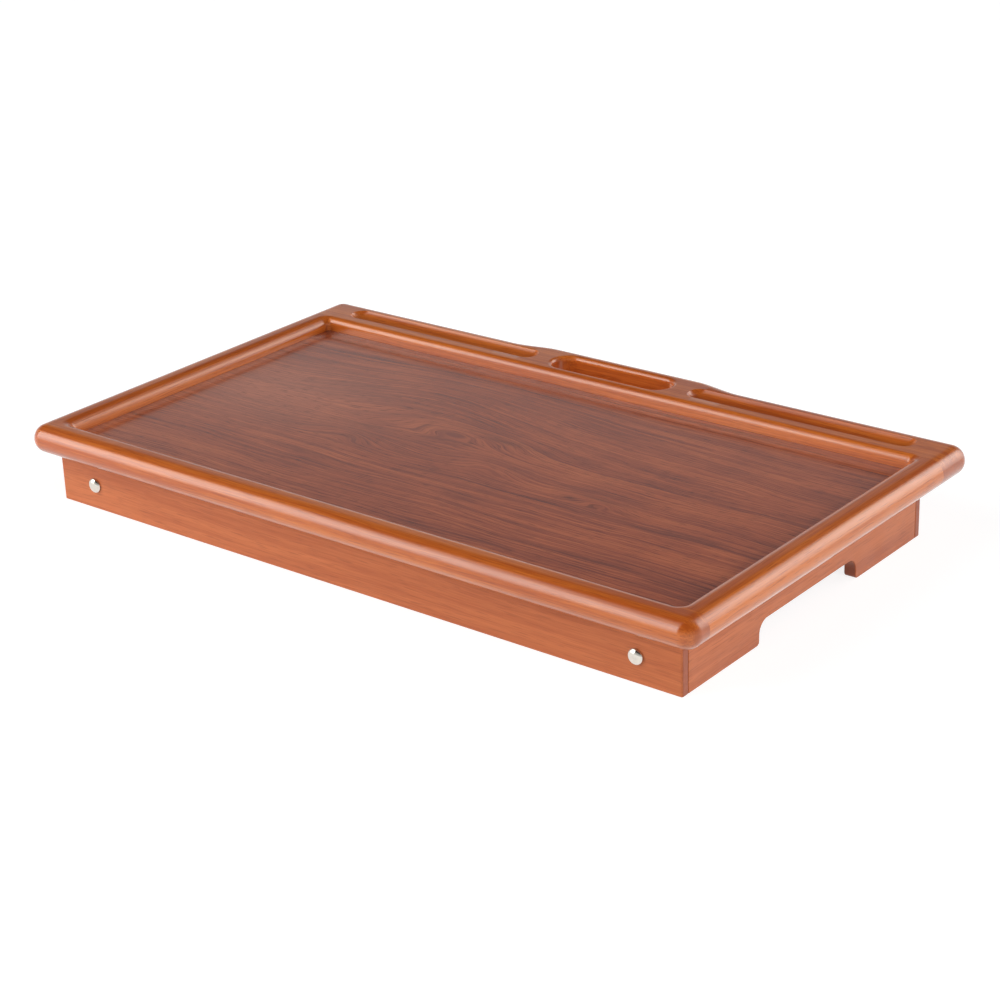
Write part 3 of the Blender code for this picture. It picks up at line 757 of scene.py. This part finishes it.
def outer_row(inset, height):
    """The rim's outline, drawn in by the inset, counter-clockwise from the front left."""
    rear = []
    for x in grip_stations():
        offset, slope = grip_offset(x)
        length = sqrt(1 + slope * slope)
        rear.append((x + inset * slope / length, rim_rear + offset - inset / length))
    side, low, high = (half_length - RIM_CORNER_RADIUS, rim_front + RIM_CORNER_RADIUS,
                       rim_rear - RIM_CORNER_RADIUS)
    return corner_row(side, low, high, RIM_CORNER_RADIUS - inset, rear, height)


def inner_row(outset, height):
    """The outline of the well, widened by the outset, with as many points as the rim's."""
    radius = max(INNER_CORNER_RADIUS + outset, 0)
    low = well_front - outset + radius
    high = well_rear + outset - radius
    rear = [(x, well_rear + outset) for x in grip_stations()]
    return corner_row(well_side + outset - radius, low, high, radius, rear, height)


def rounded_row(angle):
    """One row round the rounded edge of the well, which is tighter along the rear rail."""
    wide, tight = [inner_row(radius * (1 - sin(angle)), rim_top - radius * (1 - cos(angle)))
                   for radius in (INNER_ROUND, REAR_INNER_ROUND)]
    turn = [k / CORNER_STEPS for k in range(CORNER_STEPS + 1)]
    shares = [0] * (2 * len(turn)) + turn + [1] * len(grip_stations()) + turn[::-1]
    return [first.lerp(second, share) for first, second, share in zip(wide, tight, shares)]


def rim_blank():
    """The four rails in one: a round outer edge, a rounded inner edge and the panel's ledge."""
    rows = []
    for k in range(EDGE_STEPS + 1):
        angle = pi * (k / EDGE_STEPS - 0.5)
        rows.append(outer_row(edge_radius * (1 - cos(angle)), rim_middle + edge_radius * sin(angle)))
    for k in range(ROUND_STEPS + 1):
        rows.append(rounded_row(pi / 2 * k / ROUND_STEPS))
    rows.append(inner_row(0, ledge_top))
    rows.append(inner_row(-PANEL_LEDGE, ledge_top))
    rows.append(inner_row(-PANEL_LEDGE, rim_bottom))
    bm = stack(rows, closed=True)
    bmesh.ops.connect_verts_nonplanar(bm, angle_limit=radians(FLAT_ANGLE), faces=bm.faces[:])
    return bm


def end_rail_region(end):
    """Plan of what the front (1) or rear (-1) rail keeps of the blank."""
    outer = half_length + CUTTER_MARGIN
    if end > 0:
        edge, seam, lip = rim_front - CUTTER_MARGIN, front_seam, well_front + PANEL_LEDGE
    else:
        edge, seam, lip = rim_rear + GRIP_BULGE + CUTTER_MARGIN, rear_seam, well_rear - PANEL_LEDGE
    return [(-outer, edge), (outer, edge), (outer, seam), (well_side, seam),
            (well_side, lip), (-well_side, lip), (-well_side, seam), (-outer, seam)]


def side_rail_region(side):
    """Plan of what the left (-1) or right (1) rail keeps of the blank."""
    outer = side * (half_length + CUTTER_MARGIN)
    wall = side * (well_side + GLUE_LINE)
    inner = side * (well_side - PANEL_LEDGE - CUTTER_MARGIN)
    front_lip = well_front + PANEL_LEDGE + GLUE_LINE
    rear_lip = well_rear - PANEL_LEDGE - GLUE_LINE
    low, high = front_seam + GLUE_LINE, rear_seam - GLUE_LINE
    return [(inner, front_lip), (wall, front_lip), (wall, low), (outer, low),
            (outer, high), (wall, high), (wall, rear_lip), (inner, rear_lip)]


def stadium(x_low, x_high, y, half_width, height):
    """A row of points round a straight slot with half-round ends, along X."""
    points = arc((x_high - half_width, y), half_width, -90, 90, SLOT_STEPS)
    points += arc((x_low + half_width, y), half_width, 90, 270, SLOT_STEPS)
    return [Vector((px, py, height)) for px, py in points]


def groove_cutter(side):
    """The shallow trough on one side: an arc across, with round ends and slightly eased edges."""
    x_low, x_high = sorted((side * groove_inner, side * groove_outer))
    bottom = rim_top - GROOVE_DEPTH
    last = asin((GROOVE_WIDTH / 2 - GROOVE_EASE * (1 - cos(groove_swing))) / groove_radius)
    edge_width = groove_radius * sin(last)
    edge_height = bottom + groove_radius * (1 - cos(last))
    section = []
    for k in range(1, GROOVE_STEPS + 1):
        angle = last * k / GROOVE_STEPS
        section.append((groove_radius * sin(angle), bottom + groove_radius * (1 - cos(angle))))
    for k in range(1, GROOVE_EASE_STEPS + 1):
        angle = groove_swing * (1 - k / GROOVE_EASE_STEPS)
        rise = (cos(angle) - cos(groove_swing)) / (1 - cos(groove_swing))
        section.append((edge_width + GROOVE_EASE * (sin(groove_swing) - sin(angle)),
                        edge_height + (rim_top - edge_height) * rise))
    section.append((edge_width + GROOVE_EASE * sin(groove_swing), rim_top + CUTTER_MARGIN))
    rows = []
    for half_width, height in section:
        narrow = GROOVE_WIDTH / 2 - half_width
        rows.append(stadium(x_low + narrow, x_high - narrow, groove_middle, half_width, height))
    return stack(rows)


def slot_cutter():
    """The hand slot, which is rounded over at both its mouths."""
    lip = []
    for k in range(ROUND_STEPS + 1):
        angle = pi / 2 * k / ROUND_STEPS
        lip.append((SLOT_ROUND * (1 - cos(angle)), SLOT_ROUND * (1 - sin(angle))))
    lip.append((SLOT_ROUND, -CUTTER_MARGIN))
    section = [(flare, rim_bottom + depth) for flare, depth in reversed(lip)]
    section += [(flare, rim_top - depth) for flare, depth in lip]
    rows = []
    for flare, height in section:
        reach = SLOT_LENGTH / 2 + flare
        rows.append(stadium(-reach, reach, slot_middle, SLOT_WIDTH / 2 + flare, height))
    return stack(rows)


def apron_peg(rail, board, x, y):
    """Adds the hole of one peg between a board and the rail above it to both."""
    low = APRON_DOWEL_IN_RIM - APRON_DOWEL_LENGTH - HOLE_END_CLEARANCE
    high = APRON_DOWEL_IN_RIM + HOLE_END_CLEARANCE
    centre = (x, y, rim_bottom)
    board.append(drill(centre, "Z", low, CUTTER_MARGIN, APRON_DOWEL_DIAMETER))
    rail.append(drill(centre, "Z", -CUTTER_MARGIN, high, APRON_DOWEL_DIAMETER))


def tray_cutters():
    """What is cut from each rail and apron board: grooves, hand slot, peg holes and bolt holes."""
    cutters = defaultdict(list)
    cutters["rear_rail"] += [groove_cutter(-1), groove_cutter(1), slot_cutter()]
    for end_name, end, outer_face in ENDS:
        seam = front_seam if end > 0 else rear_seam
        middle = outer_face + end * APRON_THICKNESS / 2
        reach = apron_side - APRON_DOWEL_FROM_END
        rail, board = cutters[end_name + "_rail"], cutters[end_name + "_apron"]
        for x in (-reach, 0, reach):
            apron_peg(rail, board, x, middle)
        for side_name, side in SIDES:
            side_rail = cutters[side_name + "_rail"]
            centre = (side * (half_length - SIDE_RAIL_WIDTH / 2), seam, rim_middle)
            shallow = -end * (RAIL_DOWEL_IN_END_RAIL + HOLE_END_CLEARANCE)
            deep = end * (RAIL_DOWEL_LENGTH - RAIL_DOWEL_IN_END_RAIL + HOLE_END_CLEARANCE)
            margin = end * CUTTER_MARGIN
            rail.append(drill(centre, "Y", shallow, margin, RAIL_DOWEL_DIAMETER))
            side_rail.append(drill(centre, "Y", -margin, deep, RAIL_DOWEL_DIAMETER))
            bolt = (side * pivot_side, middle, pivot_height)
            board.append(drill(bolt, "Y", -APRON_THICKNESS, APRON_THICKNESS, BOLT_DIAMETER))
            apron_peg(side_rail, cutters[side_name + "_end_board"],
                      side * (apron_side - APRON_THICKNESS / 2), outer_face + end * FOOT_DOWEL_FROM_END)
    return cutters


def make_rails(woods, cutters):
    """The four rails, each cut out of the whole rim."""
    regions = {"front_rail": end_rail_region(1), "rear_rail": end_rail_region(-1)}
    regions.update({side_name + "_rail": side_rail_region(side) for side_name, side in SIDES})
    for name, region in regions.items():
        piece = as_object(name + "_detail", rim_blank())
        kept = prism(region, "Z", rim_bottom - CUTTER_MARGIN, rim_top + CUTTER_MARGIN)
        carve(piece, "INTERSECT", [kept])
        carve(piece, "DIFFERENCE", cutters[name])
        present(piece, "tray", woods[name])


# Apron

def end_apron_outline(end, outer_face):
    """Plan of the front (1) or rear (-1) apron board, rebated at its ends for the end boards."""
    inner_face = outer_face + end * APRON_THICKNESS
    rebate_face = inner_face - end * APRON_REBATE
    radius = APRON_CORNER_ROUND
    centre_x, centre_y = apron_side - radius, outer_face + end * radius
    left = arc((-centre_x, centre_y), radius, 180, 180 + end * 90, SMALL_ARC_STEPS)
    right = arc((centre_x, centre_y), radius, 360 - end * 90, 360, SMALL_ARC_STEPS)
    return left + right + [(apron_side, rebate_face), (apron_inside, rebate_face),
                           (apron_inside, inner_face), (-apron_inside, inner_face),
                           (-apron_inside, rebate_face), (-apron_side, rebate_face)]


def end_board_outline():
    """Side view of an end board: two feet with an arch between them."""
    low = apron_front + APRON_THICKNESS - APRON_REBATE + GAP
    high = apron_rear - APRON_THICKNESS + APRON_REBATE - GAP
    arch_low, arch_high = apron_front + FOOT_LENGTH, apron_rear - FOOT_LENGTH
    points = [(low, 0)]
    points += arc((arch_low - FOOT_CORNER, FOOT_CORNER), FOOT_CORNER, 270, 360, SMALL_ARC_STEPS)
    points += arc((arch_low + ARCH_CORNER, ARCH_HEIGHT - ARCH_CORNER), ARCH_CORNER, 180, 90, ARC_STEPS)
    points += arc((arch_high - ARCH_CORNER, ARCH_HEIGHT - ARCH_CORNER), ARCH_CORNER, 90, 0, ARC_STEPS)
    points += arc((arch_high + FOOT_CORNER, FOOT_CORNER), FOOT_CORNER, 180, 270, SMALL_ARC_STEPS)
    return points + [(high, 0), (high, apron_top), (low, apron_top)]


def make_apron(woods, cutters):
    """The front, rear and end boards."""
    for end_name, end, outer_face in ENDS:
        name = end_name + "_apron"
        outline = end_apron_outline(end, outer_face)
        piece = as_object(name + "_detail", ease(prism(outline, "Z", 0, apron_top), BOARD_EASE))
        carve(piece, "DIFFERENCE", cutters[name])
        present(piece, "tray", woods["apron_x"])
    for side_name, side in SIDES:
        name = side_name + "_end_board"
        faces = sorted((side * apron_side, side * (apron_inside + GAP)))
        piece = as_object(name + "_detail", ease(prism(end_board_outline(), "X", *faces), BOARD_EASE))
        carve(piece, "DIFFERENCE", cutters[name])
        present(piece, "tray", woods["apron_y"])


def stop_face(height):
    """Where an open leg leans against its corner block, at a height."""
    rise = height - pivot_height
    return pivot_side + (leg_width / 2 + GAP - rise * sin(leg_lean)) / cos(leg_lean)


def make_corner_blocks(material):
    """The blocks in the apron's corners, whose sloping faces stop the legs."""
    low, high = BLOCK_BASE_CLEARANCE, apron_top - GAP
    back = apron_inside - GAP
    for side_name, side in SIDES:
        outline = [(side * stop_face(low), low), (side * back, low), (side * back, high),
                   (side * stop_face(high), high)]
        for end_name, end, outer_face in ENDS:
            start = outer_face + end * (APRON_THICKNESS + GAP)
            faces = sorted((start, start + end * BLOCK_LENGTH))
            bm = ease(prism(outline, "Y", *faces), BLOCK_EASE)
            piece = as_object(f"{side_name}_{end_name}_corner_block_detail", bm)
            present(piece, "tray", material)


# Leg frames

def leg_outline(side):
    """Side view of a folded leg: a round head at the pivot, and a foot cut to stand level."""
    half = leg_width / 2
    level = half * tan(leg_lean)
    points = arc((0, 0), half, 90, 270, ARC_STEPS * 2)
    points += [(leg_length + level, -half), (leg_length - level, half)]
    return [(side * (pivot_side - x), pivot_height + z) for x, z in points]


def make_leg(side_name, side, end_name, end, apron_face, material):
    """One leg, with its pivot's bore and the stretcher's socket. Gives its inner face."""
    inner_face = apron_face + end * leg_end
    faces = sorted((apron_face + end * leg_start, inner_face))
    bm = ease(prism(leg_outline(side), "Y", *faces), LEG_EASE, LEG_EASE_STEPS)
    leg = as_object(f"{side_name}_{end_name}_leg_detail", bm)
    pivot = (side * pivot_side, sum(faces) / 2, pivot_height)
    bore = drill(pivot, "Y", -LEG_THICKNESS, LEG_THICKNESS, BOLT_DIAMETER)
    mouth = (side * stretcher_side, inner_face, pivot_height)
    depth = TENON_LENGTH + HOLE_END_CLEARANCE
    socket = drill(mouth, "Y", -end * depth, end * CUTTER_MARGIN, TENON_DIAMETER)
    carve(leg, "DIFFERENCE", [bore, socket])
    present(leg, side_name + "_legs", material)
    return inner_face


def make_stretcher(side_name, side, low, high, material):
    """The flat bar between two legs, with a round tenon at each end."""
    centre = (side * stretcher_side, 0, pivot_height)
    half_width, half_thickness = STRETCHER_WIDTH / 2, STRETCHER_THICKNESS / 2
    outline = [(centre[0] + x * half_width, pivot_height + z * half_thickness)
               for x, z in ((-1, -1), (1, -1), (1, 1), (-1, 1))]
    bm = ease(prism(outline, "Y", low, high), STRETCHER_EASE, LEG_EASE_STEPS)
    piece = as_object(side_name + "_stretcher_detail", bm)
    radius, reach = TENON_DIAMETER / 2, TENON_LENGTH + GAP
    tenons = turned(((low - reach, radius), (high + reach, radius)), "Y", centre, HOLE_SIDES)
    carve(piece, "UNION", [tenons])
    present(piece, side_name + "_legs", material)


def make_leg_frame(side_name, side, woods):
    """Two legs and the stretcher between them."""
    inner_faces = []
    for end_name, end, outer_face in ENDS:
        apron_face = outer_face + end * APRON_THICKNESS
        inner_faces.append(make_leg(side_name, side, end_name, end, apron_face, woods["leg"]))
    low, high = min(inner_faces) + GAP, max(inner_faces) - GAP
    make_stretcher(side_name, side, low, high, woods["stretcher"])


# Hardware

def ring(name, centre, end, section, flats, material):
    """A ring about a pivot, from half its section as (position inward, radius) points.

    Six flats at this distance from the axis cut off its corners. A round ring has them out of reach.
    """
    sector = pi / 3
    rows = []
    for position, radius in section:
        row = []
        for k in range(HEAD_SIDES):
            angle = 2 * pi * k / HEAD_SIDES
            reach = min(radius, flats / cos(angle % sector - sector / 2))
            row.append(Vector(centre) + Vector((reach * cos(angle), end * position, reach * sin(angle))))
        rows.append(row)
    piece = as_object(name + "_detail", stack(rows, closed=True))
    present(piece, "tray", material, RING_SMOOTH_ANGLE)


def disc_section(start, thickness, bore, outer, edge):
    """Half the section of a flat ring with its outer edges eased."""
    top = start + thickness
    return [(start, bore), (start, outer - edge), (start + edge, outer),
            (top - edge, outer), (top, outer - edge), (top, bore)]


def nut_section(bore):
    """Half the section of a lock nut: a hexagon with its corners chamfered, and a collar on top."""
    flat, corner = NUT_WIDTH / 2, NUT_WIDTH / sqrt(3)
    rise = (corner - flat) * tan(radians(NUT_CHAMFER_ANGLE))
    top = nut_start + NUT_HEIGHT
    section = [(nut_start, bore), (nut_start, flat), (nut_start + rise, corner)]
    section += [(top - NUT_COLLAR_HEIGHT, corner)]
    section += [(top - drop, flat - inset) for drop, inset in NUT_COLLAR]
    return section + [(top, bore)]


def make_bolt(tag, end, centre, material):
    """A domed head outside the apron, a plain shank and a threaded end."""
    seat = -end * (APRON_THICKNESS + GAP)
    radius = BOLT_DIAMETER / 2
    stations = []
    for k in range(HEAD_STEPS + 1):
        angle = pi / 2 * k / HEAD_STEPS
        stations.append((seat - end * BOLT_HEAD_HEIGHT * cos(angle), BOLT_HEAD_DIAMETER / 2 * sin(angle)))
    stations.append((seat, radius))
    thread_start = bolt_end - THREAD_LENGTH
    stations.append((end * thread_start, radius))
    turns = int(THREAD_LENGTH / THREAD_PITCH)
    for k in range(turns):
        for share, depth in THREAD_PROFILE:
            stations.append((end * (thread_start + (k + share) * THREAD_PITCH), radius - depth))
    stations.append((end * bolt_end, radius - THREAD_DEPTH))
    piece = as_object(tag + "_pivot_bolt_detail", turned(stations, "Y", centre, HEAD_SIDES))
    present(piece, "tray", material)


def make_hardware():
    """The bolts, and the spacer, washer and lock nut on each."""
    nickel, steel = metal("polished_nickel", **NICKEL), metal("zinc_steel", **STEEL)
    bore = BOLT_DIAMETER / 2 + BORE_CLEARANCE
    spacer = disc_section(GAP, SPACER_THICKNESS, bore, SPACER_DIAMETER / 2, SPACER_EASE)
    washer = disc_section(washer_start, WASHER_THICKNESS, bore, WASHER_DIAMETER / 2, WASHER_EASE)
    rings = (("spacer", spacer, inf, "nylon", nylon()),
             ("washer", washer, inf, "zinc_steel", steel),
             ("lock_nut", nut_section(bore), NUT_WIDTH / 2, "zinc_steel", steel))
    for side_name, side in SIDES:
        for end_name, end, outer_face in ENDS:
            centre = (side * pivot_side, outer_face + end * APRON_THICKNESS, pivot_height)
            tag = f"{side_name}_{end_name}"
            make_bolt(tag, end, centre, nickel)
            for kind, section, flats, slot, material in rings:
                ring(f"{tag}_{kind}", centre, end, section, flats, material)


# Studio

# Heights in the sky from level (0) to overhead (1), and the sky's light at each
SKY_HEIGHTS = (0.0, 0.14, 0.30, 0.36, 0.42, 0.50, 0.58, 0.70, 1.0)
SKY_LEVELS = (0.7, 0.6, 0.45, 0.30, 0.16, 0.07, 0.04, 0.03, 0.02)
# Two soft windows: azimuth from +Y towards +X, half width and softness in degrees, and added light
SKY_WINDOWS = (
    (-134, 20, 7, (0.8, 2.6, 4.3, 4.7, 4.8, 4.8, 4.5, 1.9, 0.0)),
    (29, 19, 9, (1.2, 1.8, 2.9, 3.3, 3.6, 3.5, 2.4, 0.8, 0.0)),
)
# Name, place, width, depth and power of the lamps near by, and the spot that they face
LAMPS = (
    ("front_fill", (-0.52, -0.62, 0.15), 0.5, 0.15, 1.05),
    ("side_fill", (2.6, -0.5, 1.10), 1.2, 0.8, 25.0),
)
LAMP_AIM = (0, 0, 0.05)
# The floor: how much light it bounces, and how much it shows and glows where it is seen
FLOOR_BOUNCE = 0.80
FLOOR_SHOWN = 0.35
FLOOR_GLOW = 0.84
FLOOR_REACH = 8
FLOOR_DROP = 0.0002


def by_height(tree, height, levels):
    """A light level that follows the height of a direction in the sky."""
    most = max(levels)
    stops = [(position, grey(level / most)) for position, level in zip(SKY_HEIGHTS, levels)]
    return maths(tree, "MULTIPLY", ramp(tree, height, stops), most)


def sky_window(tree, direction, azimuth, half_width, softness):
    """How far a direction lies in a soft-edged window, which is upright and has no end above."""
    turn = radians(azimuth)
    parts = []
    for axis in ((cos(turn), -sin(turn), 0), (sin(turn), cos(turn), 0)):
        dot = node(tree, "VectorMath", {0: direction, 1: axis}, operation="DOT_PRODUCT")
        parts.append(dot.outputs["Value"])
    swing = maths(tree, "ABSOLUTE", maths(tree, "ARCTAN2", *parts))
    return remap(tree, swing, radians(half_width + softness), radians(half_width - softness))


def make_sky():
    """Light from far away, which fades overhead. The camera sees white instead."""
    world = bpy.data.worlds.new("studio")
    bpy.context.scene.world = world
    world.use_nodes = True
    tree = world.node_tree
    tree.nodes.clear()
    direction = node(tree, "TexCoord").outputs["Generated"]
    height = node(tree, "SeparateXYZ", {"Vector": direction}).outputs[2]
    height = maths(tree, "MAXIMUM", height, 0.0)
    light = by_height(tree, height, SKY_LEVELS)
    for azimuth, half_width, softness, levels in SKY_WINDOWS:
        share = sky_window(tree, direction, azimuth, half_width, softness)
        light = maths(tree, "ADD", light, maths(tree, "MULTIPLY", share, by_height(tree, height, levels)))
    rays = node(tree, "LightPath")
    background = mix(tree, rays.outputs["Is Camera Ray"], light, (1, 1, 1, 1))
    surround = node(tree, "Background", {"Color": background, "Strength": 1.0})
    node(tree, "OutputWorld", {"Surface": surround.outputs[0]}).is_active_output = True


def floor_material():
    """Pale and softly glowing where it is seen, plain for other light, and clear from below."""
    material = bpy.data.materials.new("floor")
    material.use_nodes = True
    tree = material.node_tree
    tree.nodes.clear()
    rays = node(tree, "LightPath")
    seen = maths(tree, "MAXIMUM", rays.outputs["Is Camera Ray"], rays.outputs["Is Glossy Ray"])
    seen = maths(tree, "MAXIMUM", seen, rays.outputs["Is Transmission Ray"])
    plain = node(tree, "BsdfDiffuse", {"Color": grey(FLOOR_BOUNCE)})
    shown = node(tree, "BsdfDiffuse", {"Color": grey(FLOOR_SHOWN)})
    glow = node(tree, "Emission", {"Color": (1, 1, 1, 1), "Strength": FLOOR_GLOW})
    pale = node(tree, "AddShader", {0: shown.outputs[0], 1: glow.outputs[0]})
    above = node(tree, "MixShader", {0: seen, 1: plain.outputs[0], 2: pale.outputs[0]})
    clear = node(tree, "BsdfTransparent")
    below = node(tree, "NewGeometry").outputs["Backfacing"]
    one_sided = node(tree, "MixShader", {0: below, 1: above.outputs[0], 2: clear.outputs[0]})
    node(tree, "OutputMaterial", {"Surface": one_sided.outputs[0]})
    return material


def make_floor():
    """A large floor just under the tray."""
    bm = bmesh.new()
    bmesh.ops.create_grid(bm, x_segments=1, y_segments=1, size=FLOOR_REACH)
    floor = as_object("floor", bm)
    floor.location = (0, 0, -FLOOR_DROP)
    floor.data.materials.append(floor_material())


def make_lamps():
    """Soft lamps that light the tray and aren't seen themselves, nor mirrored."""
    for name, place, width, depth, power in LAMPS:
        data = bpy.data.lights.new(name, "AREA")
        data.shape = "RECTANGLE"
        data.size = width
        data.size_y = depth
        data.energy = power
        lamp = bpy.data.objects.new(name, data)
        lamp.location = place
        lamp.visible_camera = False
        lamp.visible_glossy = False
        aim = Vector(LAMP_AIM) - Vector(place)
        lamp.rotation_euler = aim.to_track_quat("-Z", "Y").to_euler()
        bpy.context.scene.collection.objects.link(lamp)


# All of it

def dress_cad_pieces(woods):
    """Gives the CAD pieces that stay in view, the panel and the pegs, their materials."""
    for name, cad_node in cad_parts.items():
        if name == "tray_panel":
            cad_node.material_slots[0].material = veneer()
        elif name.endswith("_rail_dowel"):
            cad_node.material_slots[0].material = woods["peg_y"]
        elif name.endswith("_dowel"):
            cad_node.material_slots[0].material = woods["peg_z"]


def main():
    """Builds the camera, the studio and every piece."""
    make_camera()
    make_sky()
    make_floor()
    make_lamps()
    bpy.context.scene.view_settings.view_transform = "Standard"
    woods = {key: wood(name, axis, offset, **kind) for key, (name, axis, offset, kind) in WOODS.items()}
    dress_cad_pieces(woods)
    cutters = tray_cutters()
    make_rails(woods, cutters)
    make_apron(woods, cutters)
    make_corner_blocks(woods["apron_y"])
    for side_name, side in SIDES:
        make_leg_frame(side_name, side, woods)
    make_hardware()


main()
